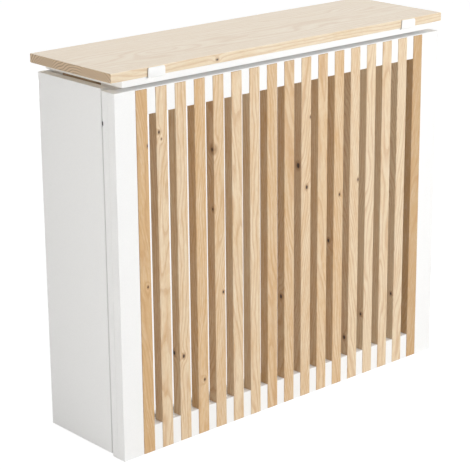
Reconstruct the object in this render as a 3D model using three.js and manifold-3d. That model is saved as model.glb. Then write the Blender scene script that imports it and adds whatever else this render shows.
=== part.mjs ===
// Radiator cover cabinet: a white carcass that stands against a wall, a pull-off front panel with
// upright oak slats, and a lift-off oak shelf on a white board that sits clear of the carcass.
// Millimetres, +Z up, front towards -Y, origin on the floor under the middle of the whole cabinet.
import * as THREE from 'three';
import { mergeVertices } from 'three/addons/utils/BufferGeometryUtils.js';
import Module from 'manifold-3d';

const wasm = await Module();
wasm.setup();

const cabinetWidth = 934; // over the front frame and the sides, without the oak shelf

// Slats
const slatCount = 17;
const slatWidth = 29;
const slatDepth = 24;
const slatProud = 1; // the slats stand this far in front of the white frame
const slatTopDrop = 2; // below the top edge of the frame
const slatBottomLift = 1; // above the bottom edge of the frame

// Front frame
const frameHeight = 782;
const stileWidth = 52.5;
const stileDepth = 22;
const railDepth = 30;
const topRailHeight = 54;
const bottomRailHeight = 59;
const returnWidth = 20; // laths behind the stiles that make the panel deep at its sides
const returnDepth = 19;
const grooveWidth = 2; // shadow line between the front panel and the carcass

// Carcass
const glideHeight = 5;
const sideRise = 4; // of the tops of the sides above the top of the front frame
const sideThick = 20;
const sideBack = 254; // from the front plane of the frame to the back edge of the sides
const rearRailThick = 18;
const rearRailHeight = 95;
const stretcherThick = 14;
const stretcherHeight = 55;
const housingDepth = 6; // the stretcher is let this far into each side
const battenWidth = 12;
const battenHeight = 30;
const battenSetback = 40; // from each end of the batten to the edges of the side

// Top
const heatGap = 4; // between the sides and the white board above them
const underBoardThick = 14;
const underBoardInset = 20; // from the outer faces of the cabinet
const shelfThick = 19;
const shelfOverhang = 8; // past the outer faces, left and right
const shelfFrontOverhang = 2;
const wallStandOff = 14; // the shelf reaches the wall, the sides stop short of it

// Shelf clips, bent from flat steel
const clipWidth = 43;
const clipThick = 3;
const clipLength = 125;
const clipRise = 21;
const clipInset = 104; // from the outer face of the cabinet to the middle of the clip
const clipCorner = 4;
const clipFit = 0.3; // round the steel
const clipCornerSteps = 3;

// Fixings
const dowelRadius = 4;
const dowelLength = 24; // half in the side, half in the rear rail
const pinRadius = 4;
const pinInSide = 18;
const pinInPanel = 9;
const pinFit = 0.5;
const catchDrop = 66; // from the top of the frame to the middle of each magnetic catch
const magnetSize = { x: 10, y: 4.5, z: 8 };
const magnetInset = 0.5; // from the outer face of the cabinet
const magnetOut = 1.1; // into the groove
const strikeInset = 1.5;
const strikeSize = { x: 12, y: 0.8, z: 16 };
const glideRadius = 6;
const glideSetIn = 13; // from the outer face of the side to the middle of each glide
const glideChamfer = 1;
const glideStemRadius = 3;
const glideStemLength = 14;
const glideInset = 30; // from the front and back edges of the side
const screwHeadRadius = 4;
const screwHeadHeight = 2.6;
const screwRimHeight = 0.4; // straight edge of the head above its cone
const screwShankRadius = 1.75;
const screwTipLength = 4;
const frameScrewLength = 24;
const boardScrewLength = 32;
const boardScrewInset = 25; // from the front and back ends of the batten
const clipScrewLength = 13;
const clipScrewSetback = 60; // behind the front plane of the frame
const bracketThick = 2;
const bracketHeight = 24;
const bracketWallLeg = 32;
const bracketSideLeg = 40; // along the side panel
const bracketDrop = 150; // from the top of the sides
const bracketScrewLength = 15;
const bracketHoleRadius = 2.5;

// Clearances and edges
const glueLine = 0.2;
const seatGap = 0.2; // under what lifts off or pulls off
const holeFit = 0.3;
const arris = 0.8; // lacquered boards
const grooveArris = 2.4; // the softer edges on both sides of the groove
const arrisSteps = 3;
const slatArris = 1.6;
const shelfArris = 1;
const roundSides = 12;
const overshoot = 1; // of a cutting tool past the face that it opens

// Derived places, measured in the frame of the front plane: y = 0 there, x = 0 in the middle
const halfWidth = cabinetWidth / 2;
const slatSpan = cabinetWidth - 2 * stileWidth;
const slatPitch = (slatSpan - slatWidth) / (slatCount - 1);
const panelDepth = stileDepth + returnDepth;
const sideFront = panelDepth + grooveWidth;
const sideTop = frameHeight + sideRise;
const sideInner = halfWidth - sideThick;
const underBoardBottom = sideTop + heatGap;
const underBoardTop = underBoardBottom + underBoardThick;
const shelfBottom = underBoardTop + seatGap;
const wallPlane = sideBack + wallStandOff;
const lipBack = -shelfFrontOverhang - clipFit;
const lipFront = lipBack - clipThick;
const clipBottom = underBoardTop - clipThick;
const battenFront = sideFront + battenSetback;
const battenBack = sideBack - rearRailThick - battenSetback;
const battenTop = underBoardBottom;
const seatY = slatDepth - slatProud;
const stretcherTop = glideHeight + stretcherHeight;
const pinHeight = stretcherTop; // the locating pins are level with the top of the stretcher
const catchHeight = frameHeight - catchDrop;

const lacquer = { color: 0xf4f4f2, roughness: 0.5, metalness: 0 };
const oak = { color: 0xdcc39c, roughness: 0.6, metalness: 0 };
const pine = { color: 0xa3876a, roughness: 0.75, metalness: 0 };
const beech = { color: 0xd9b98c, roughness: 0.7, metalness: 0 };
const steel = { color: 0xb4b6b8, roughness: 0.35, metalness: 1 };
const whiteSteel = { color: 0xf7f7f6, roughness: 0.4, metalness: 0.1 };
const ferrite = { color: 0x3a3836, roughness: 0.6, metalness: 0.3 };
const plastic = { color: 0xe6e4df, roughness: 0.5, metalness: 0 };

const cabinet = new THREE.Group();
const carcass = new THREE.Group();
const frontPanel = new THREE.Group();
const shelf = new THREE.Group();
cabinet.add(carcass, frontPanel, shelf);
cabinet.position.y = -(lipFront + wallPlane) / 2;

function solidOf(geometry) {
  const bare = geometry.clone();
  bare.deleteAttribute('normal');
  bare.deleteAttribute('uv');
  const merged = mergeVertices(bare, 1e-4);
  const vertProperties = new Float32Array(merged.attributes.position.array);
  const triVerts = new Uint32Array(merged.index.array);
  return new wasm.Manifold(new wasm.Mesh({ numProp: 3, vertProperties, triVerts }));
}

function geometryOf(solid) {
  const mesh = solid.getMesh();
  const geometry = new THREE.BufferGeometry();
  geometry.setAttribute('position', new THREE.BufferAttribute(mesh.vertProperties, 3));
  geometry.setIndex(new THREE.BufferAttribute(mesh.triVerts, 1));
  geometry.computeVertexNormals();
  return geometry;
}

function cutFrom(geometry, tools) {
  let solid = solidOf(geometry);
  for (const tool of tools) solid = solid.subtract(solidOf(tool));
  return geometryOf(solid);
}

function place(group, name, finish, geometry, at) {
  const mesh = new THREE.Mesh(geometry, new THREE.MeshStandardMaterial(finish));
  mesh.name = name;
  mesh.position.set(...at);
  group.add(mesh);
  return mesh;
}

// A rectangle round the origin with its four corners rounded.
function roundedRectangle(width, height, radius) {
  const shape = new THREE.Shape();
  const x = width / 2 - radius;
  const y = height / 2 - radius;
  shape.absarc(x, y, radius, 0, Math.PI / 2);
  shape.absarc(-x, y, radius, Math.PI / 2, Math.PI);
  shape.absarc(-x, -y, radius, Math.PI, Math.PI * 1.5);
  shape.absarc(x, -y, radius, Math.PI * 1.5, Math.PI * 2);
  return shape;
}

// The section of an upright board whose outer edge next to the groove is softer than the rest:
// soft.x and soft.y, each -1 or 1, say which corner that is.
function softEdged(width, depth, soft) {
  const shape = new THREE.Shape();
  for (const [x, y] of [[1, 1], [-1, 1], [-1, -1], [1, -1]]) {
    const radius = x === soft.x && y === soft.y ? grooveArris : arris;
    const from = Math.atan2(y, x) - Math.PI / 4;
    const at = [x * (width / 2 - radius), y * (depth / 2 - radius)];
    shape.absarc(...at, radius, from, from + Math.PI / 2);
  }
  return shape;
}

function extrude(shape, length, bevel = 0, curveSegments = 1) {
  const geometry = new THREE.ExtrudeGeometry(shape, {
    depth: length - 2 * bevel,
    bevelEnabled: bevel > 0,
    bevelThickness: bevel,
    bevelSize: bevel,
    bevelOffset: -bevel,
    bevelSegments: 1,
    curveSegments,
  });
  return geometry.translate(0, 0, bevel - length / 2);
}

// A board between two corners, with its long edges rounded along x, y or z and its ends eased.
function boardGeometry(low, high, along, radius, soft) {
  const [w, d, h] = high.map((value, i) => value - low[i]);
  if (soft) return extrude(softEdged(w, d, soft), h, radius * 0.5, arrisSteps);
  const ease = radius * 0.5;
  if (along === 'x') return extrude(roundedRectangle(h, d, radius), w, ease).rotateY(Math.PI / 2);
  if (along === 'y') return extrude(roundedRectangle(w, h, radius), d, ease).rotateX(Math.PI / 2);
  return extrude(roundedRectangle(w, d, radius), h, ease);
}

function addBoard(group, name, finish, low, high, along, { radius = arris, cuts = [], soft } = {}) {
  const middle = low.map((value, i) => (value + high[i]) / 2);
  let geometry = boardGeometry(low, high, along, radius, soft);
  const local = cuts.map((cut) => cut.translate(-middle[0], -middle[1], -middle[2]));
  if (local.length > 0) geometry = cutFrom(geometry, local);
  return place(group, name, finish, geometry, middle);
}

function blockGeometry(low, high) {
  const size = high.map((value, i) => value - low[i]);
  const middle = low.map((value, i) => (value + high[i]) / 2);
  return new THREE.BoxGeometry(...size).translate(...middle);
}

// A round rod centred on a point, along x, y or z.
function rodGeometry(radius, length, along, at) {
  const geometry = new THREE.CylinderGeometry(radius, radius, length, roundSides);
  if (along === 'x') geometry.rotateZ(Math.PI / 2);
  if (along === 'z') geometry.rotateX(Math.PI / 2);
  return geometry.translate(...at);
}

// A countersunk screw under its head's face, pointing down from z = 0, grown by a clearance.
function screwGeometry(length, grown = 0) {
  const profile = [
    [0, grown],
    [screwHeadRadius + grown, grown],
    [screwHeadRadius + grown, -screwRimHeight],
    [screwShankRadius + grown, -screwHeadHeight - grown],
    [screwShankRadius + grown, -length + screwTipLength],
    [0, -length - grown],
  ];
  const points = profile.map(([r, y]) => new THREE.Vector2(r, y)).reverse();
  return new THREE.LatheGeometry(points, roundSides).rotateX(Math.PI / 2);
}

function screwHole(length, at) {
  return screwGeometry(length, holeFit).translate(...at);
}

function slatCentre(i) {
  return -slatSpan / 2 + slatWidth / 2 + i * slatPitch;
}

// --- Front panel -------------------------------------------------------------------------------

const railMiddles = { bottom: bottomRailHeight / 2, top: frameHeight - topRailHeight / 2 };
const frameScrewX = slatSpan / 2 + (stileWidth - returnWidth) / 2;

// A screw driven forwards through the back of a rail into a stile.
function screwAlongY(length, grown = 0) {
  return screwGeometry(length, grown).rotateX(-Math.PI / 2);
}

function frameScrewHole(side, z) {
  return screwAlongY(frameScrewLength, holeFit).translate(side * frameScrewX, railDepth, z);
}

// A rail has pockets in its front for the slats, and its ends lap behind the stiles. The top rail
// closes over the slats, so that its top face is whole.
function railGeometry(height) {
  const lapEnd = halfWidth - returnWidth - glueLine;
  const lapFront = stileDepth + glueLine;
  const end = slatSpan / 2 - glueLine;
  const shape = new THREE.Shape();
  shape.moveTo(lapEnd, railDepth);
  shape.lineTo(-lapEnd, railDepth);
  shape.lineTo(-lapEnd, lapFront);
  shape.lineTo(-end, lapFront);
  shape.lineTo(-end, 0);
  shape.lineTo(end, 0);
  shape.lineTo(end, lapFront);
  shape.lineTo(lapEnd, lapFront);
  return extrude(shape, height, arris / 2);
}

function slatPockets(height, cover) {
  const half = slatWidth / 2 + glueLine;
  const top = cover > 0 ? height / 2 - cover : height / 2 + overshoot;
  return Array.from({ length: slatCount }, (_, i) => {
    const low = [slatCentre(i) - half, -overshoot, -height / 2 - overshoot];
    return blockGeometry(low, [slatCentre(i) + half, seatY + glueLine, top]);
  });
}

function addRail(name, z, height, cover) {
  const holes = [-1, 1].map((side) => frameScrewHole(side, 0));
  const rail = cutFrom(railGeometry(height), [...holes, ...slatPockets(height, cover)]);
  place(frontPanel, name, lacquer, rail, [0, 0, z]);
}

for (const [where, side] of [['left', -1], ['right', 1]]) {
  const outer = side * halfWidth;
  const inner = side * (slatSpan / 2);
  const edges = [Math.min(outer, inner), Math.max(outer, inner)];
  const cuts = Object.values(railMiddles).map((z) => frameScrewHole(side, z));
  const stileHigh = [edges[1], stileDepth, frameHeight];
  addBoard(frontPanel, `stile_${where}`, lacquer, [edges[0], 0, 0], stileHigh, 'z', { cuts });

  const lath = [outer, outer - side * returnWidth].sort((a, b) => a - b);
  const socket = [side * (halfWidth - sideThick / 2), panelDepth - pinInPanel / 2, pinHeight];
  const returnCuts = [rodGeometry(pinRadius + pinFit, pinInPanel + 2 * pinFit, 'y', socket)];
  const magnetX = side * (halfWidth - magnetInset - magnetSize.x / 2);
  const magnetBack = panelDepth + magnetOut;
  const magnetAt = [magnetX, magnetBack - magnetSize.y / 2, catchHeight];
  // the magnet's pocket is open towards the groove and the outer face
  const pocketX = [outer + side * overshoot, magnetX - side * (magnetSize.x / 2 + holeFit)];
  pocketX.sort((a, b) => a - b);
  const pocketHalf = magnetSize.z / 2 + holeFit;
  const pocketLow = [pocketX[0], magnetBack - magnetSize.y - holeFit, catchHeight - pocketHalf];
  const pocketHigh = [pocketX[1], panelDepth + overshoot, catchHeight + pocketHalf];
  returnCuts.push(blockGeometry(pocketLow, pocketHigh));
  const lathLow = [lath[0], stileDepth + glueLine, 0];
  const lathHigh = [lath[1], panelDepth, frameHeight];
  const returnShape = { cuts: returnCuts, soft: { x: side, y: 1 } };
  addBoard(frontPanel, `return_${where}`, lacquer, lathLow, lathHigh, 'z', returnShape);

  const magnet = new THREE.BoxGeometry(magnetSize.x, magnetSize.y, magnetSize.z);
  place(frontPanel, `catch_magnet_${where}`, ferrite, magnet, magnetAt);

  for (const [level, z] of Object.entries(railMiddles)) {
    const screw = screwAlongY(frameScrewLength);
    place(frontPanel, `frame_screw_${level}_${where}`, steel, screw, [side * frameScrewX, railDepth, z]);
  }
}

addRail('rail_top', railMiddles.top, topRailHeight, slatTopDrop - glueLine);
addRail('rail_bottom', railMiddles.bottom, bottomRailHeight, 0);

for (let i = 0; i < slatCount; i += 1) {
  const x = slatCentre(i);
  const low = [x - slatWidth / 2, -slatProud, slatBottomLift];
  const high = [x + slatWidth / 2, seatY, frameHeight - slatTopDrop];
  const name = `slat_${String(i + 1).padStart(2, '0')}`;
  addBoard(frontPanel, name, oak, low, high, 'z', { radius: slatArris });
}

// --- Carcass -----------------------------------------------------------------------------------

const glideStem = { radius: glideStemRadius + holeFit, length: glideStemLength + holeFit };
const rearRailMiddle = sideTop - rearRailHeight / 2;
const rearDowelY = sideBack - rearRailThick / 2;
const pinMiddleY = sideFront + (pinInSide - pinInPanel - grooveWidth) / 2;
const pinLength = pinInSide + pinInPanel + grooveWidth;
const bracketZ = sideTop - bracketDrop;
const bracketScrewY = sideBack - bracketSideLeg / 2;

function rearDowelHole(side) {
  const at = [side * sideInner, rearDowelY, rearRailMiddle];
  return rodGeometry(dowelRadius + holeFit, dowelLength + 2 * holeFit, 'x', at);
}

function glideProfile() {
  const points = [
    [0, glideHeight + glideStemLength],
    [glideStemRadius, glideHeight + glideStemLength],
    [glideStemRadius, glideHeight],
    [glideRadius, glideHeight],
    [glideRadius, glideChamfer],
    [glideRadius - glideChamfer, 0],
    [0, 0],
  ];
  return points.map(([r, y]) => new THREE.Vector2(r, y)).reverse();
}

// An angle bracket: one leg on the side panel, the other flat against the wall.
function bracketGeometry(side) {
  const shape = new THREE.Shape();
  const face = side * (sideInner - glueLine);
  shape.moveTo(face, sideBack - bracketSideLeg);
  shape.lineTo(face, wallPlane);
  shape.lineTo(face - side * bracketWallLeg, wallPlane);
  shape.lineTo(face - side * bracketWallLeg, wallPlane - bracketThick);
  shape.lineTo(face - side * bracketThick, wallPlane - bracketThick);
  shape.lineTo(face - side * bracketThick, sideBack - bracketSideLeg);
  const holeX = face - side * (bracketWallLeg + bracketThick) / 2;
  const throughBoth = 2 * (bracketThick + overshoot);
  const wallHole = rodGeometry(bracketHoleRadius, throughBoth, 'y', [holeX, wallPlane, 0]);
  const screw = screwAlongX(bracketScrewLength, side, holeFit);
  screw.translate(side * (sideInner - glueLine - bracketThick), bracketScrewY, 0);
  return cutFrom(extrude(shape, bracketHeight), [wallHole, screw]);
}

// A screw driven outwards through a side panel: its head faces the inside of the cabinet.
function screwAlongX(length, side, grown = 0) {
  return screwGeometry(length, grown).rotateY(-side * Math.PI / 2);
}

for (const [where, side] of [['left', -1], ['right', 1]]) {
  const faces = [side * halfWidth, side * sideInner].sort((a, b) => a - b);
  const middleX = side * (halfWidth - sideThick / 2);
  const glideX = side * (halfWidth - glideSetIn);
  const glideYs = { front: sideFront + glideInset, back: sideBack - glideInset };

  const cuts = Object.values(glideYs).map((y) =>
    rodGeometry(glideStem.radius, glideStem.length * 2, 'z', [glideX, y, glideHeight]));
  cuts.push(rearDowelHole(side));
  const pinHole = pinRadius + holeFit;
  cuts.push(rodGeometry(pinHole, 2 * (pinInSide + holeFit), 'y', [middleX, sideFront, pinHeight]));
  const housingLow = [0, sideFront - overshoot, glideHeight - overshoot];
  const housingHigh = [0, sideFront + stretcherThick + glueLine, stretcherTop + glueLine];
  const housingX = [side * (sideInner + housingDepth + glueLine), side * (sideInner - overshoot)];
  [housingLow[0], housingHigh[0]] = housingX.sort((a, b) => a - b);
  cuts.push(blockGeometry(housingLow, housingHigh));
  const bracketScrewX = side * (sideInner - glueLine - bracketThick);
  const bracketScrewAt = [bracketScrewX, bracketScrewY, bracketZ];
  cuts.push(screwAlongX(bracketScrewLength, side, holeFit).translate(...bracketScrewAt));
  const sideLow = [faces[0], sideFront, glideHeight];
  const sideShape = { cuts, soft: { x: side, y: -1 } };
  addBoard(carcass, `side_${where}`, lacquer, sideLow, [faces[1], sideBack, sideTop], 'z', sideShape);

  for (const [end, y] of Object.entries(glideYs)) {
    const glide = new THREE.LatheGeometry(glideProfile(), roundSides).rotateX(Math.PI / 2);
    place(carcass, `glide_${where}_${end}`, plastic, glide, [glideX, y, 0]);
  }

  const pin = rodGeometry(pinRadius, pinLength, 'y', [0, 0, 0]);
  place(carcass, `locating_pin_${where}`, steel, pin, [middleX, pinMiddleY, pinHeight]);

  const strike = new THREE.BoxGeometry(strikeSize.x, strikeSize.y - glueLine, strikeSize.z);
  const strikeX = side * (halfWidth - strikeInset - strikeSize.x / 2);
  const strikeY = sideFront - (strikeSize.y + glueLine) / 2;
  const strikeAt = [strikeX, strikeY, catchHeight];
  place(carcass, `strike_plate_${where}`, steel, strike, strikeAt);

  const rearDowel = rodGeometry(dowelRadius, dowelLength, 'x', [0, 0, 0]);
  const rearDowelAt = [side * sideInner, rearDowelY, rearRailMiddle];
  place(carcass, `rear_dowel_${where}`, beech, rearDowel, rearDowelAt);

  place(carcass, `wall_bracket_${where}`, steel, bracketGeometry(side), [0, 0, bracketZ]);
  const bracketScrew = screwAlongX(bracketScrewLength, side);
  place(carcass, `wall_bracket_screw_${where}`, steel, bracketScrew, bracketScrewAt);

  const battenX = [side * (sideInner - glueLine), side * (sideInner - battenWidth)];
  battenX.sort((a, b) => a - b);
  const battenScrewX = side * (sideInner - battenWidth / 2);
  const boardScrewYs = { front: battenFront + boardScrewInset, back: battenBack - boardScrewInset };
  const battenCuts = Object.values(boardScrewYs).map((y) =>
    screwHole(boardScrewLength, [battenScrewX, y, underBoardTop]));
  const battenLow = [battenX[0], battenFront, battenTop - battenHeight];
  const battenHigh = [battenX[1], battenBack, battenTop];
  const battenName = `spacer_batten_${where}`;
  addBoard(carcass, battenName, pine, battenLow, battenHigh, 'y', { cuts: battenCuts });

  for (const [end, y] of Object.entries(boardScrewYs)) {
    const screw = screwGeometry(boardScrewLength);
    place(carcass, `board_screw_${where}_${end}`, steel, screw, [battenScrewX, y, underBoardTop]);
  }
}

const rearRailEnd = sideInner - glueLine;
const rearRailLow = [-rearRailEnd, sideBack - rearRailThick, sideTop - rearRailHeight];
const rearRailHigh = [rearRailEnd, sideBack, sideTop];
const rearRailCuts = [-1, 1].map((side) => rearDowelHole(side));
addBoard(carcass, 'rear_rail', lacquer, rearRailLow, rearRailHigh, 'x', { cuts: rearRailCuts });

const stretcherEnd = sideInner + housingDepth;
const stretcherLow = [-stretcherEnd, sideFront, glideHeight];
const stretcherHigh = [stretcherEnd, sideFront + stretcherThick, stretcherTop];
addBoard(carcass, 'bottom_stretcher', lacquer, stretcherLow, stretcherHigh, 'x');

// --- White board and shelf clips ---------------------------------------------------------------

const underBoardEnd = halfWidth - underBoardInset;
const clipCentre = halfWidth - clipInset;

// The steel lies in a recess in the white board, and its front end is turned up as a lip.
function clipGeometry() {
  const shape = new THREE.Shape();
  const back = lipFront + clipLength;
  shape.moveTo(back, 0);
  shape.lineTo(back, clipThick);
  shape.lineTo(lipBack, clipThick);
  shape.lineTo(lipBack, clipRise);
  shape.lineTo(lipFront, clipRise);
  shape.lineTo(lipFront, clipThick);
  shape.absarc(lipFront + clipThick, clipThick, clipThick, Math.PI, Math.PI * 1.5);
  const bent = extrude(shape, clipWidth).rotateZ(Math.PI / 2).rotateY(Math.PI / 2);
  const plate = new THREE.Shape();
  const half = clipWidth / 2;
  const longEnough = 3 * clipLength; // past both ends of the clip
  plate.moveTo(-half, -overshoot);
  plate.lineTo(half, -overshoot);
  plate.lineTo(half, clipRise - clipCorner);
  plate.absarc(half - clipCorner, clipRise - clipCorner, clipCorner, 0, Math.PI / 2);
  plate.absarc(clipCorner - half, clipRise - clipCorner, clipCorner, Math.PI / 2, Math.PI);
  const rounding = extrude(plate, longEnough, 0, clipCornerSteps).rotateX(Math.PI / 2);
  const shaped = geometryOf(solidOf(bent).intersect(solidOf(rounding)));
  return cutFrom(shaped, [screwHole(clipScrewLength, [0, clipScrewSetback, clipThick])]);
}

const underBoardCuts = [];
for (const side of [-1, 1]) {
  const x = side * clipCentre;
  const recessHalf = clipWidth / 2 + clipFit;
  const recessBack = lipFront + clipLength + clipFit;
  const recessLow = [x - recessHalf, -overshoot, clipBottom - clipFit];
  const recessHigh = [x + recessHalf, recessBack, underBoardTop + overshoot];
  underBoardCuts.push(blockGeometry(recessLow, recessHigh));
  underBoardCuts.push(screwHole(clipScrewLength, [x, clipScrewSetback, underBoardTop]));
  const battenScrewX = side * (sideInner - battenWidth / 2);
  for (const y of [battenFront + boardScrewInset, battenBack - boardScrewInset]) {
    underBoardCuts.push(screwHole(boardScrewLength, [battenScrewX, y, underBoardTop]));
  }
}
const underBoardLow = [-underBoardEnd, 0, underBoardBottom + seatGap];
const underBoardHigh = [underBoardEnd, sideBack, underBoardTop];
addBoard(carcass, 'under_board', lacquer, underBoardLow, underBoardHigh, 'x', { cuts: underBoardCuts });

for (const [where, side] of [['left', -1], ['right', 1]]) {
  const x = side * clipCentre;
  place(carcass, `shelf_clip_${where}`, whiteSteel, clipGeometry(), [x, 0, clipBottom]);
  const screw = screwGeometry(clipScrewLength);
  place(carcass, `clip_screw_${where}`, steel, screw, [x, clipScrewSetback, underBoardTop]);
}

// --- Oak shelf ---------------------------------------------------------------------------------

const shelfEnd = halfWidth + shelfOverhang;
const shelfLow = [-shelfEnd, -shelfFrontOverhang, shelfBottom];
const shelfHigh = [shelfEnd, wallPlane, shelfBottom + shelfThick];
addBoard(shelf, 'oak_shelf', oak, shelfLow, shelfHigh, 'x', { radius: shelfArris });

export default cabinet;
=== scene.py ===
import math

import bmesh
import bpy
from mathutils import Euler, Matrix, Vector


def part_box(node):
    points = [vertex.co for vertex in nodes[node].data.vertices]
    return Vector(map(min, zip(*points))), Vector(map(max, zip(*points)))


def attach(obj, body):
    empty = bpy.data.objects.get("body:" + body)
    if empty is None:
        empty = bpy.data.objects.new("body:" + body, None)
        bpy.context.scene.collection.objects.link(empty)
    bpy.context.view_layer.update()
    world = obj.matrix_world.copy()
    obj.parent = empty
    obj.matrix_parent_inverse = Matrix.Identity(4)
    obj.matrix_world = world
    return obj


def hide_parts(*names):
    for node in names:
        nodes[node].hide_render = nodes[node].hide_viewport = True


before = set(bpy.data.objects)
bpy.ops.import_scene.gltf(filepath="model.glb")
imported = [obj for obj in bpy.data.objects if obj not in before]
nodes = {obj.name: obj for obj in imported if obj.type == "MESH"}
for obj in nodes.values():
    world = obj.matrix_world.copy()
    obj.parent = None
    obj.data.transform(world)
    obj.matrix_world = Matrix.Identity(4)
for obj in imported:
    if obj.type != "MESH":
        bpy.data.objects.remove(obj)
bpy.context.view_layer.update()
mm = 0.001
near = 0.01  # millimetres: the slack in tests of where a corner is
smoothAngle = math.radians(35)  # faces that meet at less than this are shaded as one
sharpAngle = math.radians(40)  # edges that turn by more than this are softened
print("loaded", len(nodes), "solids")


# A solid's lowest and highest corners, in millimetres.
def boxOf(node):
    return [Vector(corner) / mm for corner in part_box(node)]


def linear(hexColour):
    parts = [int(hexColour[i : i + 2], 16) / 255 for i in (1, 3, 5)]
    return [c / 12.92 if c <= 0.04045 else ((c + 0.055) / 1.055) ** 2.4 for c in parts] + [1]


# Adds a node. An input may be a value, a socket, or a node whose first output is meant.
def addNode(tree, kind, settings=None, inputs=None):
    node = tree.nodes.new(kind)
    for name, value in (settings or {}).items():
        setattr(node, name, value)
    for socket, value in (inputs or {}).items():
        if isinstance(value, bpy.types.Node):
            value = value.outputs[0]
        if isinstance(value, bpy.types.NodeSocket):
            tree.links.new(value, node.inputs[socket])
        else:
            node.inputs[socket].default_value = value
    return node


def newMaterial(name):
    material = bpy.data.materials.new(name)
    material.use_nodes = True
    return material, material.node_tree, material.node_tree.nodes["Principled BSDF"]


slatBoxes = [boxOf(name) for name in sorted(nodes) if name.startswith("slat_")]
slatCentres = [(low.x + high.x) / 2 for low, high in slatBoxes]

# Oak, planed and finished with a matt hardwax oil: pale straw to honey, with growth rings about
# 3 mm wide, drawn at 5 mm so that they show, and open pores that run with the grain.
# "bend" is how far the rings wander and "ring" how wide they are, in millimetres.
slatOak = {
    "count": len(slatCentres),
    "firstCentre": slatCentres[0],
    "pitch": (slatCentres[-1] - slatCentres[0]) / (len(slatCentres) - 1),
    "frontY": boxOf("stile_left")[0].y,  # the frame's front
    "grainAxis": 2,  # the grain runs along z
    "middleHeight": 400,
    "apart": 4000,  # how far from each other along the log two slats may come from
    "heartSideways": 75,  # how far to one side of the slat the middle of the log may lie
    "heartDepth": (-100, -40),  # and between which y
    "lean": 0.24,  # how far the grain may run out of the slat's length
    "bend": 40,
    "ring": 5,
    "roughness": 0.6,
    "oil": 0.0,
    "pale": "#ecd9bb",
    "honey": "#d9b484",
    "line": "#bd8a55",
    "pore": "#a97c4c",
    "endGrain": "#b89468",
    "endLine": "#84623c",
    "knot": "#33200f",
    "knotRim": "#9a6a3c",
    # how pale each slat is, from the left, and how much light it returns
    "paleness": [
        0.05, 0.75, 0.75, 0.3, 0.5, 0.75, 0.75, 0.35, 0.4, 0.65, 0.5, 0.4, 0.8, 1.0, 0.85, 1.0, 0.15,
    ],
    "brightness": [0.96, 1, 1, 1, 1, 1, 1, 0.97, 0.97, 1, 1, 1, 1, 1, 1, 1, 0.86],
    # slat number, millimetres right of its middle, behind the frame's front, above the floor, radius
    "knots": [
        (1, 13.5, 0, 664, 2.8),
        (1, 5, -1, 368, 2),
        (2, -8, -1, 687, 2.6),
        (2, -2, -1, 672, 1.4),
        (3, -4, -1, 192, 3.4),
        (3, -14, 18, 197, 4),
        (4, 3, -1, 123, 2.6),
        (5, -11, 4, 624, 5.6),
        (5, -13, 4, 495, 3),
        (5, 8, -1, 308, 2.6),
        (9, -14.5, 10, 251, 4),
        (10, 13, -1, 647, 2.4),
        (10, 2, -1, 491, 3.6),
        (10, -14.5, 9, 541, 5),
        (12, 3.5, -1, 454, 2.6),
        (12, -14.5, 15, 346, 3.6),
        (13, 12, -1, 477, 2.8),
        (13, -14.5, 11, 101, 4),
        (14, -14.5, 8, 146, 3),
        (16, -14.5, 7, 172, 3),
    ],
}

shelfOak = {
    "grainAxis": 0,  # the grain runs along x
    "bend": 22,
    "ring": 5.2,
    "roughness": 0.4,
    "oil": 1.0,
    "pale": "#eddec5",
    "honey": "#e2cca8",
    "line": "#c69a64",
    "pore": "#ac8554",
    "endGrain": "#c4a172",
    "endLine": "#5f452b",
    "knot": "#33200f",
    "knotRim": "#9a6a3c",
    "tone": 0.6,
    "brightness": 1.0,
    "heart": (-24, 690),  # the middle of the log under the board: y and z
    # an island in the figure where the log bulged: place, half length, half width, rise
    "islands": [((-257, -21, 823), 95, 24, 15), ((230, 35, 823), 150, 30, 12)],
    "islandDepth": 100,
    "knots": [((-203, -133, 812), 2.4)],
}

# What both have in common. Each pattern repeats so often in a millimetre along the grain, across
# it and into it: slow bends, pores of 25 by 1 mm, flecks of 18 by 4 mm, clouds of 110 by 16 mm.
grain = {
    "patterns": {
        "bends": {"perMm": (0.004, 0.02, 0.02), "detail": 2, "roughness": 0.4, "distortion": 0},
        "pores": {"perMm": (0.04, 0.9, 0.9), "detail": 3, "roughness": 0.6, "distortion": 0},
        "flecks": {"perMm": (0.055, 0.25, 0.25), "detail": 2, "roughness": 0.5, "distortion": 0.6},
        "clouds": {"perMm": (0.009, 0.06, 0.06), "detail": 3, "roughness": 0.55, "distortion": 0},
    },
    # how dark a ring is on its way outwards: from pores to dense late wood
    "ringProfile": [(0, 0.75), (0.12, 1.0), (0.4, 0.25), (0.75, 0.05), (1, 0.35)],
    "ringStrength": 0.45,
    "poreLevels": (0.52, 0.72),  # of the pattern, where a pore begins and where it is full
    "poreStrength": 0.35,
    "poreDepth": 0.2,
    "poreRelief": 0.3,
    "toneLevels": (0.3, 0.7),
    "fleckTone": 0.2,
    "cloudTone": 0.28,
    "endFacing": (0.6, 0.9),  # how squarely a face looks along the grain
    "endStrength": 0.75,
    "knotPush": 13,  # millimetres that the rings are pushed outwards at a knot
    "knotPushFall": -0.5,  # how fast that falls off, for each knot radius
    "knotStretch": 0.7,
    # where a knot and its rim fade out, in knot radii, and where no knot is near
    "knotEdge": (0.6, 1.05),
    "knotStrength": 0.95,
    "knotRimEdge": (0.8, 2.4),
    "knotRimStrength": 0.6,
    "noKnot": 9.0,
    # the gloss of wood, and of the oil where it lies thick enough to shine
    "ior": 1.5,
    "oilRoughness": 0.35,
}


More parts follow.
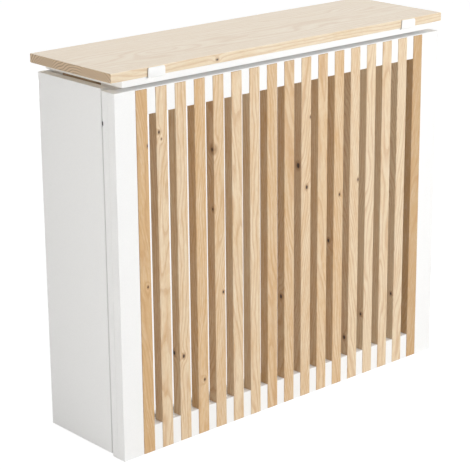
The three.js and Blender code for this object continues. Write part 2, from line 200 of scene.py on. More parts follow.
# A ramp with a step for each slat holds its paleness in red and its brightness in green.
def toneOfSlats(tree, look, index):
    share = {0: index, 1: 1 / look["count"], 2: 0.5 / look["count"]}
    share = addNode(tree, "ShaderNodeMath", {"operation": "MULTIPLY_ADD"}, share)
    table = addNode(tree, "ShaderNodeValToRGB", {}, {0: share})
    table.color_ramp.interpolation = "CONSTANT"
    steps = table.color_ramp.elements
    for i, value in enumerate(look["paleness"]):
        step = steps[i] if i < 2 else steps.new(i / look["count"])
        step.position = i / look["count"]
        step.color = (value, look["brightness"][i], 0, 1)
    perSlat = addNode(tree, "ShaderNodeSeparateXYZ", {}, {0: table}).outputs
    return perSlat[0], perSlat[1]


def knotsOfSlats(look):
    knots = []
    for slat, right, back, height, radius in look["knots"]:
        x = look["firstCentre"] + look["pitch"] * (slat - 1) + right
        knots.append(((x, back + look["frontY"], height), radius))
    return knots


# Each slat comes from its own place in the log, which its number draws, and its grain runs out to
# one side or the other.
def placeSlats(tree, look, x, y, z):
    edge = look["firstCentre"] - look["pitch"] / 2
    fromEdge = addNode(tree, "ShaderNodeMath", {"operation": "SUBTRACT"}, {0: x, 1: edge})
    pitches = addNode(tree, "ShaderNodeMath", {"operation": "DIVIDE"}, {0: fromEdge, 1: look["pitch"]})
    index = addNode(tree, "ShaderNodeMath", {"operation": "FLOOR"}, {0: pitches})
    chance = addNode(tree, "ShaderNodeTexWhiteNoise", {"noise_dimensions": "1D"}, {"W": index})
    luck = addNode(tree, "ShaderNodeSeparateXYZ", {}, {0: chance.outputs["Color"]}).outputs
    placed = {0: index, 1: look["pitch"], 2: look["firstCentre"]}
    centre = addNode(tree, "ShaderNodeMath", {"operation": "MULTIPLY_ADD"}, placed)
    across = addNode(tree, "ShaderNodeMath", {"operation": "SUBTRACT"}, {0: x, 1: centre})
    leanRange = {0: luck[1], 1: 2 * look["lean"], 2: -look["lean"]}
    lean = addNode(tree, "ShaderNodeMath", {"operation": "MULTIPLY_ADD"}, leanRange)
    up = addNode(tree, "ShaderNodeMath", {"operation": "SUBTRACT"}, {0: z, 1: look["middleHeight"]})
    leant = addNode(tree, "ShaderNodeMath", {"operation": "MULTIPLY"}, {0: lean, 1: up})
    across = addNode(tree, "ShaderNodeMath", {"operation": "SUBTRACT"}, {0: across, 1: leant})
    alongLog = {0: luck[0], 1: look["apart"], 2: z}
    along = addNode(tree, "ShaderNodeMath", {"operation": "MULTIPLY_ADD"}, alongLog)
    acrossRange = {0: luck[2], 1: 2 * look["heartSideways"], 2: -look["heartSideways"]}
    heartAcross = addNode(tree, "ShaderNodeMath", {"operation": "MULTIPLY_ADD"}, acrossRange)
    deepest, shallowest = look["heartDepth"]
    deepRange = {0: luck[0], 1: shallowest - deepest, 2: deepest}
    heartDeep = addNode(tree, "ShaderNodeMath", {"operation": "MULTIPLY_ADD"}, deepRange)
    return {
        "along": along,
        "across": across,
        "deep": y,
        "heart": (heartAcross, heartDeep),
        "tone": toneOfSlats(tree, look, index),
        "knots": knotsOfSlats(look),
    }


# The shelf is one board, with its grain along x.
def placeShelf(tree, look, x, y, z):
    tone = (look["tone"], look["brightness"])
    return {"along": x, "across": y, "deep": z, "heart": look["heart"], "tone": tone, "knots": look["knots"]}


# The level of each pattern, drawn out along the grain.
def patternLevels(tree, wood):
    grained = {"X": wood["along"], "Y": wood["across"], "Z": wood["deep"]}
    lengthways = addNode(tree, "ShaderNodeCombineXYZ", {}, grained)
    levels = {}
    for kind, pattern in grain["patterns"].items():
        scaled = {0: lengthways, 1: pattern["perMm"]}
        noise = {
            "Vector": addNode(tree, "ShaderNodeVectorMath", {"operation": "MULTIPLY"}, scaled),
            "Scale": 1,
            "Detail": pattern["detail"],
            "Roughness": pattern["roughness"],
            "Distortion": pattern["distortion"],
        }
        levels[kind] = addNode(tree, "ShaderNodeTexNoise", {}, noise).outputs["Fac"]
    return levels


# The distance to the nearest knot, in knot radii. A knot is longer along the grain.
def nearestKnot(tree, look, point, knots):
    nearest = grain["noKnot"]
    for at, size in knots:
        away = addNode(tree, "ShaderNodeVectorMath", {"operation": "SUBTRACT"}, {0: point, 1: at})
        shape = [1 / size] * 3
        shape[look["grainAxis"]] = grain["knotStretch"] / size
        scaled = addNode(tree, "ShaderNodeVectorMath", {"operation": "MULTIPLY"}, {0: away, 1: shape})
        far = addNode(tree, "ShaderNodeVectorMath", {"operation": "LENGTH"}, {0: scaled})
        either = {0: far.outputs["Value"], 1: nearest}
        nearest = addNode(tree, "ShaderNodeMath", {"operation": "MINIMUM"}, either)
    return nearest


# The distance from the heart of a log that bends slowly along its length, with the rings raised at
# the islands and pushed outwards at the knots.
def ringRadius(tree, look, point, wood, bends, nearest):
    heartAcross, heartDeep = wood["heart"]
    fromAcross = {0: wood["across"], 1: heartAcross}
    sideways = addNode(tree, "ShaderNodeMath", {"operation": "SUBTRACT"}, fromAcross)
    inwards = addNode(tree, "ShaderNodeMath", {"operation": "SUBTRACT"}, {0: wood["deep"], 1: heartDeep})
    flat = addNode(tree, "ShaderNodeCombineXYZ", {}, {"X": sideways, "Y": inwards})
    fromHeart = addNode(tree, "ShaderNodeVectorMath", {"operation": "LENGTH"}, {0: flat}).outputs["Value"]
    bent = {0: bends, 1: look["bend"], 2: fromHeart}
    radius = addNode(tree, "ShaderNodeMath", {"operation": "MULTIPLY_ADD"}, bent)
    for at, halfLength, halfWidth, rise in look.get("islands", []):
        size = (1 / halfLength, 1 / halfWidth, 1 / look["islandDepth"])
        scaled = addNode(tree, "ShaderNodeVectorMath", {"operation": "MULTIPLY"}, {0: point, 1: size})
        middle = tuple(a * s for a, s in zip(at, size))
        off = addNode(tree, "ShaderNodeVectorMath", {"operation": "DISTANCE"}, {0: scaled, 1: middle})
        off = off.outputs["Value"]
        square = addNode(tree, "ShaderNodeMath", {"operation": "MULTIPLY"}, {0: off, 1: off})
        falling = addNode(tree, "ShaderNodeMath", {"operation": "MULTIPLY"}, {0: square, 1: -1.0})
        bulge = addNode(tree, "ShaderNodeMath", {"operation": "EXPONENT"}, {0: falling})
        raised = {0: bulge, 1: rise, 2: radius}
        radius = addNode(tree, "ShaderNodeMath", {"operation": "MULTIPLY_ADD"}, raised)
    fading = {0: nearest, 1: grain["knotPushFall"]}
    fading = addNode(tree, "ShaderNodeMath", {"operation": "MULTIPLY"}, fading)
    swirl = addNode(tree, "ShaderNodeMath", {"operation": "EXPONENT"}, {0: fading})
    pushed = {0: swirl, 1: grain["knotPush"], 2: radius}
    return addNode(tree, "ShaderNodeMath", {"operation": "MULTIPLY_ADD"}, pushed)


# How dark the rings are: each radius falls somewhere in a ring, and the profile says the rest.
def ringLines(tree, look, radius):
    rings = addNode(tree, "ShaderNodeMath", {"operation": "DIVIDE"}, {0: radius, 1: look["ring"]})
    ringPlace = addNode(tree, "ShaderNodeMath", {"operation": "FRACT"}, {0: rings})
    ringLine = addNode(tree, "ShaderNodeValToRGB", {}, {0: ringPlace})
    stops = ringLine.color_ramp.elements
    for i, (position, value) in enumerate(grain["ringProfile"]):
        stop = stops[i] if i < 2 else stops.new(position)
        stop.position = position
        stop.color = (value, value, value, 1)
    return ringLine


# Flecks and clouds make the tone paler or darker.
def changeTone(tree, tone, levels):
    low, high = grain["toneLevels"]
    for kind, most in (("flecks", grain["fleckTone"]), ("clouds", grain["cloudTone"])):
        change = {0: levels[kind], 1: low, 2: high, 3: -most, 4: most}
        change = addNode(tree, "ShaderNodeMapRange", {}, change)
        tone = addNode(tree, "ShaderNodeMath", {"operation": "ADD"}, {0: tone, 1: change})
    tone.use_clamp = True
    return tone


# How much of each darker colour lies over the wood, from below. End grain is darker, and its rings
# show more.
def darkLayers(tree, endFacing, ringLine, pores, nearest):
    low, high = grain["poreLevels"]
    poreRange = {0: pores, 1: low, 2: high, 3: 0.0, 4: grain["poreStrength"]}
    ends = addNode(tree, "ShaderNodeMath", {"operation": "ABSOLUTE"}, {0: endFacing})
    low, high = grain["endFacing"]
    endRange = {0: ends, 1: low, 2: high, 3: 0.0, 4: grain["endStrength"]}
    endMask = addNode(tree, "ShaderNodeMapRange", {}, endRange)
    lineShare = {0: ringLine, 1: grain["ringStrength"]}
    inner, outer = grain["knotRimEdge"]
    rimRange = {0: nearest, 1: inner, 2: outer, 3: grain["knotRimStrength"], 4: 0.0}
    inner, outer = grain["knotEdge"]
    coreRange = {0: nearest, 1: inner, 2: outer, 3: grain["knotStrength"], 4: 0.0}
    smooth = {"interpolation_type": "SMOOTHSTEP"}
    return {
        "endGrain": endMask,
        "line": addNode(tree, "ShaderNodeMath", {"operation": "MULTIPLY"}, lineShare),
        "endLine": addNode(tree, "ShaderNodeMath", {"operation": "MULTIPLY"}, {0: ringLine, 1: endMask}),
        "pore": addNode(tree, "ShaderNodeMapRange", {}, poreRange),
        "knotRim": addNode(tree, "ShaderNodeMapRange", smooth, rimRange),
        "knot": addNode(tree, "ShaderNodeMapRange", smooth, coreRange),
    }


def makeOak(name, look, placeInLog):
    material, tree, shader = newMaterial(name)
    place = addNode(tree, "ShaderNodeTexCoord")
    inMillimetres = {0: place.outputs["Object"], "Scale": 1 / mm}
    point = addNode(tree, "ShaderNodeVectorMath", {"operation": "SCALE"}, inMillimetres)
    x, y, z = addNode(tree, "ShaderNodeSeparateXYZ", {}, {0: point}).outputs
    facing = addNode(tree, "ShaderNodeSeparateXYZ", {}, {0: place.outputs["Normal"]}).outputs

    wood = placeInLog(tree, look, x, y, z)
    levels = patternLevels(tree, wood)
    nearest = nearestKnot(tree, look, point, wood["knots"])
    radius = ringRadius(tree, look, point, wood, levels["bends"], nearest)
    ringLine = ringLines(tree, look, radius)
    layers = darkLayers(tree, facing[look["grainAxis"]], ringLine, levels["pores"], nearest)

    tone, brightness = wood["tone"]
    toned = changeTone(tree, tone, levels)
    mixing = {0: toned, 6: linear(look["honey"]), 7: linear(look["pale"])}
    colour = addNode(tree, "ShaderNodeMix", {"data_type": "RGBA"}, mixing).outputs[2]
    dimmed = {0: colour, "Scale": brightness}
    colour = addNode(tree, "ShaderNodeVectorMath", {"operation": "SCALE"}, dimmed).outputs[0]
    for shade, mask in layers.items():
        mixing = {0: mask, 6: colour, 7: linear(look[shade])}
        colour = addNode(tree, "ShaderNodeMix", {"data_type": "RGBA"}, mixing).outputs[2]
    tree.links.new(colour, shader.inputs["Base Color"])
    shader.inputs["Roughness"].default_value = look["roughness"]
    shader.inputs["IOR"].default_value = grain["ior"]
    shader.inputs["Coat Weight"].default_value = look["oil"]
    shader.inputs["Coat Roughness"].default_value = grain["oilRoughness"]
    depth = -grain["poreDepth"] * mm
    relief = {"Strength": grain["poreRelief"], "Distance": depth, "Height": layers["pore"]}
    relief = addNode(tree, "ShaderNodeBump", {}, relief)
    tree.links.new(relief.outputs[0], shader.inputs["Normal"])
    return material


oakSlats = makeOak("planed oak, slats", slatOak, placeSlats)
oakShelfWood = makeOak("planed oak, shelf board", shelfOak, placeShelf)

# Plain finishes. Each mixes two colours and two roughnesses in patches, whose size along x, y and
# z is in millimetres, as is the relief.
patchy = {
    "levels": (0.35, 0.65),  # of the noise, between which a patch changes into the next
    "detail": 3,
    "reliefStrength": 0.5,
}
finishes = {
    # fibreboard, sanded and sprayed: satin, even, with the faint ripple that a spray gun leaves
    "satin white lacquer": {
        "colour": "#f8f8f7",
        "other": "#f5f5f4",
        "roughness": (0.38, 0.46),
        "pattern": (2, 2, 2),
        "relief": 0.02,
    },
    # baked powder on steel: a little glossier, with a finer ripple
    "white powder coat": {
        "colour": "#f7f7f6",
        "other": "#f4f4f3",
        "roughness": (0.3, 0.38),
        "pattern": (1, 1, 1),
        "relief": 0.02,
    },
    # sawn pine: dull, with growth lines along the batten; both colours are darker than the pine itself,
    # painted shade for the gap under the white board
    "pine batten with painted shade": {
        "colour": "#a0876b",
        "other": "#7f6a50",
        "roughness": (0.7, 0.8),
        "pattern": (3, 60, 3),
        "relief": 0.1,
    },
    # turned beech: pinkish straw, with short flecks along the dowel
    "turned beech": {
        "colour": "#d8b384",
        "other": "#c09464",
        "roughness": (0.6, 0.7),
        "pattern": (8, 1.2, 1.2),
        "relief": 0.05,
    },
    # zinc on steel: grey, with cloudy patches from the plating bath
    "zinc plate": {
        "colour": "#c4c5c6",
        "other": "#a9aaac",
        "roughness": (0.28, 0.4),
        "pattern": (4, 4, 4),
        "relief": 0.01,
        "metallic": 1.0,
    },
    # pressed ferrite: charcoal, granular
    "pressed ferrite": {
        "colour": "#322f2d",
        "other": "#262423",
        "roughness": (0.5, 0.6),
        "pattern": (0.6, 0.6, 0.6),
        "relief": 0.05,
    },
    # moulded nylon: off-white and slightly waxy
    "moulded nylon": {
        "colour": "#dedcd6",
        "other": "#d5d3cc",
        "roughness": (0.4, 0.5),
        "pattern": (1.5, 1.5, 1.5),
        "relief": 0.02,
    },
}


def makeFinish(name, look):
    material, tree, shader = newMaterial(name)
    place = addNode(tree, "ShaderNodeTexCoord")
    size = tuple(1 / (length * mm) for length in look["pattern"])
    scaled = {0: place.outputs["Object"], 1: size}
    scaled = addNode(tree, "ShaderNodeVectorMath", {"operation": "MULTIPLY"}, scaled)
    noise = {"Vector": scaled, "Scale": 1, "Detail": patchy["detail"]}
    level = addNode(tree, "ShaderNodeTexNoise", {}, noise).outputs["Fac"]
    low, high = patchy["levels"]
    share = addNode(tree, "ShaderNodeMapRange", {}, {0: level, 1: low, 2: high, 3: 0.0, 4: 1.0})
    mixing = {0: share, 6: linear(look["colour"]), 7: linear(look["other"])}
    colour = addNode(tree, "ShaderNodeMix", {"data_type": "RGBA"}, mixing)
    tree.links.new(colour.outputs[2], shader.inputs["Base Color"])
    least, most = look["roughness"]
    sheen = addNode(tree, "ShaderNodeMapRange", {}, {0: level, 1: low, 2: high, 3: least, 4: most})
    tree.links.new(sheen.outputs[0], shader.inputs["Roughness"])
    relief = {"Strength": patchy["reliefStrength"], "Distance": look["relief"] * mm, "Height": level}
    relief = addNode(tree, "ShaderNodeBump", {}, relief)
    tree.links.new(relief.outputs[0], shader.inputs["Normal"])
    shader.inputs["Metallic"].default_value = look.get("metallic", 0.0)
    return material


made = {name: makeFinish(name, look) for name, look in finishes.items()}
finishOf = {
    "slat_": oakSlats,
    "oak_shelf": oakShelfWood,
    "frame_screw": made["zinc plate"],
    "board_screw": made["zinc plate"],
    "clip_screw": made["zinc plate"],
    "wall_bracket": made["zinc plate"],
    "locating_pin": made["zinc plate"],
    "strike_plate": made["zinc plate"],
    "shelf_clip": made["white powder coat"],
    # the battens' darkened pine colour is painted shade for the gap under the board
    "spacer_batten": made["pine batten with painted shade"],
    "rear_dowel": made["turned beech"],
    "catch_magnet": made["pressed ferrite"],
    "glide": made["moulded nylon"],
}
for name in nodes:
    found = [finish for start, finish in finishOf.items() if name.startswith(start)]
    data = nodes[name].data
    data.materials.clear()
    data.materials.append(found[0] if found else made["satin white lacquer"])
print("materials on")


# Selects the edges or faces, all of whose corners pass a test on their place in millimetres.
def pick(kind, test):
    data = bpy.context.object.data
    bpy.ops.mesh.select_mode(type="EDGE" if kind == "edges" else "FACE")
    bpy.ops.mesh.select_all(action="DESELECT")
    mesh = bmesh.from_edit_mesh(data)
    for item in getattr(mesh, kind):
        if all(test(corner.co / mm) for corner in item.verts):
            item.select_set(True)
    bmesh.update_edit_mesh(data)


def extrudeBy(x, y, z):
    move = {"value": (x * mm, y * mm, z * mm), "orient_type": "GLOBAL"}
    bpy.ops.mesh.extrude_region_move(TRANSFORM_OT_translate=move)


def roundEdges(radius, steps):
    bpy.ops.mesh.bevel(offset=radius * mm, segments=steps, affect="EDGES")


def addBlock(low, high):
    bpy.ops.object.select_all(action="DESELECT")
    middle = [(a + b) / 2 * mm for a, b in zip(low, high)]
    bpy.ops.mesh.primitive_cube_add(size=1, location=middle, scale=[(b - a) * mm for a, b in zip(low, high)])
    bpy.ops.object.transform_apply(location=True, rotation=True, scale=True)
    return bpy.context.object


def addRod(radius, low, high, sides):
    bpy.ops.object.select_all(action="DESELECT")
    depth = (high - low) * mm
    at = (0, 0, (high + low) / 2 * mm)
    bpy.ops.mesh.primitive_cylinder_add(vertices=sides, radius=radius * mm, depth=depth, location=at)
    bpy.ops.object.transform_apply(location=True, rotation=True, scale=True)
    return bpy.context.object


def cutWith(piece, cutter):
    bpy.ops.object.select_all(action="DESELECT")
    bpy.context.view_layer.objects.active = piece
    piece.select_set(True)
    cut = piece.modifiers.new("cut", "BOOLEAN")
    cut.operation = "DIFFERENCE"
    cut.solver = "EXACT"
    cut.object = cutter
    bpy.ops.object.modifier_apply(modifier="cut")
    bpy.data.objects.remove(cutter)


# Softens the sharp edges, then shades the rounded faces smooth.
def softenEdges(piece, width):
    bpy.ops.object.select_all(action="DESELECT")
    bpy.context.view_layer.objects.active = piece
    piece.select_set(True)
    soften = piece.modifiers.new("soften", "BEVEL")
    soften.width = width * mm
    soften.segments = 2
    soften.limit_method = "ANGLE"
    soften.angle_limit = sharpAngle
    bpy.ops.object.modifier_apply(modifier="soften")
    bpy.ops.object.shade_smooth_by_angle(angle=smoothAngle)


# A copy with its own mesh that stands for one solid of the frame.
def standFor(model, node, body, finish, place):
    piece = bpy.data.objects.new("detailed-" + node, model.data.copy())
    bpy.context.scene.collection.objects.link(piece)
    piece.data.transform(place)
    piece.data.materials.clear()
    piece.data.materials.append(made[finish])
    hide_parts(node)
    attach(piece, body)
    return piece


# Countersunk screws with a cross recess, modelled with the head up and its face at z = 0
screw = {
    "headRadius": 4,
    "rim": 0.4,
    "headHeight": 2.6,
    "shankRadius": 1.75,
    "tip": 4,
    "length": 24,
    "recessWidth": 0.9,
    "recessReach": 2.3,
    "recessDepth": 1.7,
    "recessNarrow": 0.45,  # how much of its width is left at the foot of the recess
    "tipNarrow": 0.12,  # and of the shank's width at its tip
    "edge": 0.2,
    "edgeSteps": 2,
    "cutterReach": 0.5,  # past the head's face
    "sides": 28,
}
# what each kind is called, the body it rides on and the way its head faces
screwKinds = (
    ("frame_screw", "front_panel", lambda node: Vector((0, 1, 0))),
    ("board_screw", "carcass", lambda node: Vector((0, 0, 1))),
    ("clip_screw", "carcass", lambda node: Vector((0, 0, 1))),
    ("wall_bracket_screw", "carcass", lambda node: Vector((1 if "left" in node else -1, 0, 0))),
)

model = addRod(screw["headRadius"], -screw["rim"], 0, screw["sides"])
bpy.ops.object.mode_set(mode="EDIT")
centre = {"center_override": (0, 0, 0)}
pick("faces", lambda p: p.z < -screw["rim"] + near)
extrudeBy(0, 0, screw["rim"] - screw["headHeight"])
narrow = screw["shankRadius"] / screw["headRadius"]
bpy.ops.transform.resize(value=(narrow, narrow, 1), **centre)
extrudeBy(0, 0, screw["headHeight"] + screw["tip"] - screw["length"])
extrudeBy(0, 0, -screw["tip"])
bpy.ops.transform.resize(value=(screw["tipNarrow"], screw["tipNarrow"], 1), **centre)
pick("edges", lambda p: p.z > -near)
roundEdges(screw["edge"], screw["edgeSteps"])
bpy.ops.object.mode_set(mode="OBJECT")

half = screw["recessWidth"] / 2
reach = screw["recessReach"] - half
cross = addBlock((-half, -half, -screw["recessDepth"]), (half, half, screw["cutterReach"]))
bpy.ops.object.mode_set(mode="EDIT")
for x, y in ((1, 0), (-1, 0), (0, 1), (0, -1)):
    pick("faces", lambda p: p.x * x + p.y * y > half - near and abs(p.x * y) + abs(p.y * x) < half + near)
    extrudeBy(x * reach, y * reach, 0)
pick("faces", lambda p: p.z < near - screw["recessDepth"])
bpy.ops.transform.resize(value=(screw["recessNarrow"], screw["recessNarrow"], 1), **centre)
bpy.ops.object.mode_set(mode="OBJECT")
cutWith(model, cross)
bpy.ops.object.shade_smooth_by_angle(angle=smoothAngle)
for kind, body, facingOf in screwKinds:
    for node in [name for name in nodes if name.startswith(kind)]:
        low, high = boxOf(node)
        facing = facingOf(node)
        length = abs((high - low).dot(facing))
        turn = Vector((0, 0, 1)).rotation_difference(facing).to_matrix().to_4x4()
        head = (low + high + facing * length) / 2
        piece = standFor(model, node, body, "zinc plate", Matrix())
        # the model's shank is shortened or lengthened below the head
        for vertex in piece.data.vertices:
            if vertex.co.z < -(screw["headHeight"] + near) * mm:
                vertex.co.z += (screw["length"] - length) * mm
        piece.data.transform(Matrix.Translation(head * mm) @ turn)
bpy.data.objects.remove(model)
print("screws made")

# Shelf clips: flat steel with the front end turned up, powder coated white
clip = {
    "thick": 3,
    "corner": 4,
    "cornerSteps": 7,
    "outerBend": 2.94,
    "outerSteps": 7,
    "innerBend": 1,
    "innerSteps": 4,
    "edge": 0.35,
    "holeRadius": 4.3,
    "holeNarrow": 2.05,
    "holeSides": 28,
    "cutterReach": 0.2,  # past the steel on each side
}
low, high = boxOf("shelf_clip_left")
middleX = (low.x + high.x) / 2
screwLow, screwHigh = boxOf("clip_screw_left")
lipBack = low.y + clip["thick"]
strapTop = low.z + clip["thick"]
model = addBlock((low.x - middleX, low.y, low.z), (high.x - middleX, high.y, strapTop))
bpy.ops.object.mode_set(mode="EDIT")
bpy.ops.mesh.select_all(action="SELECT")
bpy.ops.mesh.bisect(plane_co=(0, lipBack * mm, 0), plane_no=(0, 1, 0))
pick("faces", lambda p: p.z > strapTop - near and p.y < lipBack + near)
extrudeBy(0, 0, high.z - strapTop)
pick("edges", lambda p: p.z < low.z + near and p.y < low.y + near)
roundEdges(clip["outerBend"], clip["outerSteps"])
pick("edges", lambda p: abs(p.z - strapTop) < near and abs(p.y - lipBack) < near)
roundEdges(clip["innerBend"], clip["innerSteps"])
halfWidth = (high.x - low.x) / 2
for side in (-1, 1):
    pick("edges", lambda p: p.z > high.z - near and p.x * side > halfWidth - near)
    roundEdges(clip["corner"], clip["cornerSteps"])
bpy.ops.object.mode_set(mode="OBJECT")
# the countersunk hole
bpy.ops.object.select_all(action="DESELECT")
holeDepth = clip["thick"] + 2 * clip["cutterReach"]
holeAt = (0, (screwLow.y + screwHigh.y) / 2 * mm, (strapTop - holeDepth / 2 + clip["cutterReach"]) * mm)
bpy.ops.mesh.primitive_cone_add(
    vertices=clip["holeSides"],
    radius1=clip["holeNarrow"] * mm,
    radius2=clip["holeRadius"] * mm,
    depth=holeDepth * mm,
    location=holeAt,
)
cutWith(model, bpy.context.object)
softenEdges(model, clip["edge"])
for where in ("left", "right"):
    low, high = boxOf("shelf_clip_" + where)
    place = Matrix.Translation(((low.x + high.x) / 2 * mm, 0, 0))
    standFor(model, "shelf_clip_" + where, "carcass", "white powder coat", place)
bpy.data.objects.remove(model)
print("clips made")

# Glides: moulded nylon discs with a stem that is pressed into the side
glide = {
    "radius": 6,
    "height": 5,
    "stem": 3,
    "stemLength": 14,
    "soft": 1,
    "softSteps": 4,
    "edge": 0.25,
    "sides": 40,
}
model = addRod(glide["radius"], 0, glide["height"], glide["sides"])
bpy.ops.object.mode_set(mode="EDIT")
pick("faces", lambda p: p.z > glide["height"] - near)
bpy.ops.mesh.inset(thickness=(glide["radius"] - glide["stem"]) * mm)
extrudeBy(0, 0, glide["stemLength"])
pick("edges", lambda p: p.z < near)
roundEdges(glide["soft"], glide["softSteps"])
bpy.ops.object.mode_set(mode="OBJECT")
softenEdges(model, glide["edge"])
for node in [name for name in nodes if name.startswith("glide")]:
    low, high = boxOf(node)
    place = Matrix.Translation(((low.x + high.x) / 2 * mm, (low.y + high.y) / 2 * mm, 0))
    standFor(model, node, "carcass", "moulded nylon", place)
bpy.data.objects.remove(model)
print("glides made")

# Wall brackets: an angle of zinc-plated strip, one leg on the side and the other against the wall
bracket = {
    "thick": 2,
    "wallLeg": 32,
    "corner": 4,
    "cornerSteps": 6,
    "bend": 1.9,
    "bendSteps": 5,
    "edge": 0.2,
    "holeRadius": 2.5,
    "holeSides": 24,
    "screwHole": 4.3,
    "screwHoleSides": 28,
}
for where, side in (("left", -1), ("right", 1)):
    node = "wall_bracket_" + where
    low, high = boxOf(node)
    thick = bracket["thick"]
    outer = low.x if side < 0 else high.x
    inner = outer - side * thick
    model = addBlock((min(outer, inner), low.y, low.z), (max(outer, inner), high.y, high.z))
    bpy.ops.object.mode_set(mode="EDIT")
    bpy.ops.mesh.select_all(action="SELECT")
    bpy.ops.mesh.bisect(plane_co=(0, (high.y - thick) * mm, 0), plane_no=(0, 1, 0))
    pick("faces", lambda p: abs(p.x - inner) < near and p.y > high.y - thick - near)
    extrudeBy(-side * (bracket["wallLeg"] - thick), 0, 0)
    farX = outer - side * bracket["wallLeg"]
    for z in (low.z, high.z):
        pick("edges", lambda p: abs(p.x - farX) < near and abs(p.z - z) < near)
        roundEdges(bracket["corner"], bracket["cornerSteps"])
        pick("edges", lambda p: p.y < low.y + near and abs(p.z - z) < near)
        roundEdges(bracket["corner"], bracket["cornerSteps"])
    pick("edges", lambda p: abs(p.x - outer) < near and p.y > high.y - near)
    roundEdges(bracket["bend"], bracket["bendSteps"])
    bpy.ops.object.mode_set(mode="OBJECT")
    middleZ = (low.z + high.z) / 2
    wallHole = addRod(bracket["holeRadius"], -thick * 2, thick * 2, bracket["holeSides"])
    holeX = outer - side * (bracket["wallLeg"] + thick) / 2
    ontoY = Matrix.Rotation(math.pi / 2, 4, "X")
    wallHole.data.transform(Matrix.Translation((holeX * mm, high.y * mm, middleZ * mm)) @ ontoY)
    cutWith(model, wallHole)
    screwLow, screwHigh = boxOf("wall_bracket_screw_" + where)
    screwHole = addRod(bracket["screwHole"], -thick * 2, thick * 2, bracket["screwHoleSides"])
    ontoX = Matrix.Rotation(math.pi / 2, 4, "Y")
    holeAt = (outer * mm, (screwLow.y + screwHigh.y) / 2 * mm, middleZ * mm)
    screwHole.data.transform(Matrix.Translation(holeAt) @ ontoX)
    cutWith(model, screwHole)
    softenEdges(model, bracket["edge"])
    standFor(model, node, "carcass", "zinc plate", Matrix())
    bpy.data.objects.remove(model)
print("brackets made")

# Floor and room: seen directly, in a reflection or through something clear they are white, and the
# floor keeps a part of its own shading, so the cabinet's shadow shows
studio = {
    "floorSize": 40,
    "floorColour": "#f4f4f4",
    "floorRoughness": 0.9,
    "floorGloss": 0.1,
    # the floor's white, and its share of what is seen: together with the shading they make white
    "white": 1.13,
    "whiteShare": 0.85,
    # The light that the room gives: it is dimmer behind the cabinet than in front of it, and dimmer
    # on the left than on the right. The axis, the places on it where the level starts and stops
    # changing, with the room's ends at -1 and 1, and the two levels.
    "room": [("Y", (-0.5, 0.5), (0.5, 0.2)), ("X", (-0.7, 0.3), (0.46, 1.0))],
}


# Whether a ray comes straight from the camera, or by way of a shiny or clear surface.
def seenRays(tree):
    path = addNode(tree, "ShaderNodeLightPath")
    seen = path.outputs["Is Camera Ray"]
    for kind in ("Is Glossy Ray", "Is Transmission Ray"):
        seen = addNode(tree, "ShaderNodeMath", {"operation": "MAXIMUM"}, {0: seen, 1: path.outputs[kind]})
    return seen


bpy.ops.object.select_all(action="DESELECT")
bpy.ops.mesh.primitive_plane_add(size=studio["floorSize"], location=(0, 0, 0))
floor = bpy.context.object
floor.name = "studio-floor"
floorPaint, tree, shader = newMaterial("matt white floor")
shader.inputs["Base Color"].default_value = linear(studio["floorColour"])
shader.inputs["Roughness"].default_value = studio["floorRoughness"]
shader.inputs["Specular IOR Level"].default_value = studio["floorGloss"]
share = {0: seenRays(tree), 1: studio["whiteShare"]}
share = addNode(tree, "ShaderNodeMath", {"operation": "MULTIPLY"}, share)
white = addNode(tree, "ShaderNodeEmission", {}, {"Color": (1, 1, 1, 1), "Strength": studio["white"]})
surface = addNode(tree, "ShaderNodeMixShader", {}, {0: share, 1: shader, 2: white})
tree.links.new(surface.outputs[0], tree.nodes["Material Output"].inputs["Surface"])
floor.data.materials.append(floorPaint)

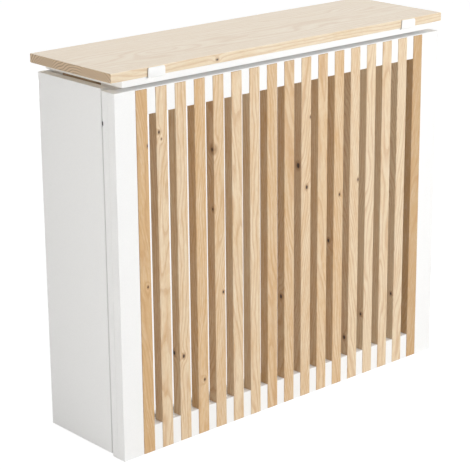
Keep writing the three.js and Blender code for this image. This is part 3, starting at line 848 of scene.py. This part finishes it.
world = bpy.data.worlds.new("studio")
world.use_nodes = True
bpy.context.scene.world = world
tree = world.node_tree
towards = addNode(tree, "ShaderNodeSeparateXYZ", {}, {0: addNode(tree, "ShaderNodeTexCoord")})
ambient = 1.0
for axis, (start, stop), (first, last) in studio["room"]:
    level = {0: towards.outputs[axis], 1: start, 2: stop, 3: first, 4: last}
    level = addNode(tree, "ShaderNodeMapRange", {}, level)
    ambient = addNode(tree, "ShaderNodeMath", {"operation": "MULTIPLY"}, {0: ambient, 1: level})
strength = {0: seenRays(tree), 2: ambient, 3: 1.0}
strength = addNode(tree, "ShaderNodeMix", {"data_type": "FLOAT"}, strength)
tree.nodes["Background"].inputs["Color"].default_value = (1, 1, 1, 1)
tree.links.new(strength.outputs[0], tree.nodes["Background"].inputs["Strength"])

# Each lamp's place, what it points at, its width in metres, its power and its colour. The fill is a
# little warm, and turned well past the cabinet, so that its light falls off towards the back of
# the side.
cabinet = (0, 0, 0.4)
neutral = (1, 1, 1)
warm = (1, 0.98, 0.95)
fillAim = (-2.66, -0.49, 0.7)
lamps = {
    "key from the front right": ((1.5, -4.15, 2.2), cabinet, 1.7, 118, neutral),
    "fill from the left": ((-2.8, 0.5, 0.7), fillAim, 1.1, 50, warm),
    "soft box above": ((0, 0.2, 2.8), cabinet, 2.0, 20, neutral),
    "back light from the right": ((1.6, 3.0, 0.4), cabinet, 0.7, 20, neutral),
}
for name, (at, aim, size, watts, colour) in lamps.items():
    data = bpy.data.lights.new(name, "AREA")
    data.shape = "SQUARE"
    data.size = size
    data.energy = watts
    data.color = colour
    light = bpy.data.objects.new(name, data)
    light.location = at
    light.rotation_euler = (Vector(aim) - Vector(at)).to_track_quat("-Z", "Y").to_euler()
    bpy.context.scene.collection.objects.link(light)
print("stage and lamps set")

# Camera: front left, a little above, with a long lens; the angles are in radians
view = {
    "at": (-2.4031, -2.6817, 1.5256),
    "turn": 0.7309,
    "down": 0.2988,
    "roll": -0.0055,
    "lens": 129.2,
    "shift": (-0.03, -0.05),
    "clipping": (0.1, 60),
}
cameraData = bpy.data.cameras.new("camera")
cameraData.lens = view["lens"]
cameraData.shift_x, cameraData.shift_y = view["shift"]
cameraData.clip_start, cameraData.clip_end = view["clipping"]
camera = bpy.data.objects.new("camera", cameraData)
camera.location = view["at"]
facing = Euler((math.pi / 2 - view["down"], 0, -view["turn"])).to_matrix()
camera.rotation_euler = (facing @ Matrix.Rotation(view["roll"], 3, "Z")).to_euler()
bpy.context.scene.collection.objects.link(camera)
bpy.context.scene.camera = camera
bpy.context.scene.view_settings.view_transform = "Standard"
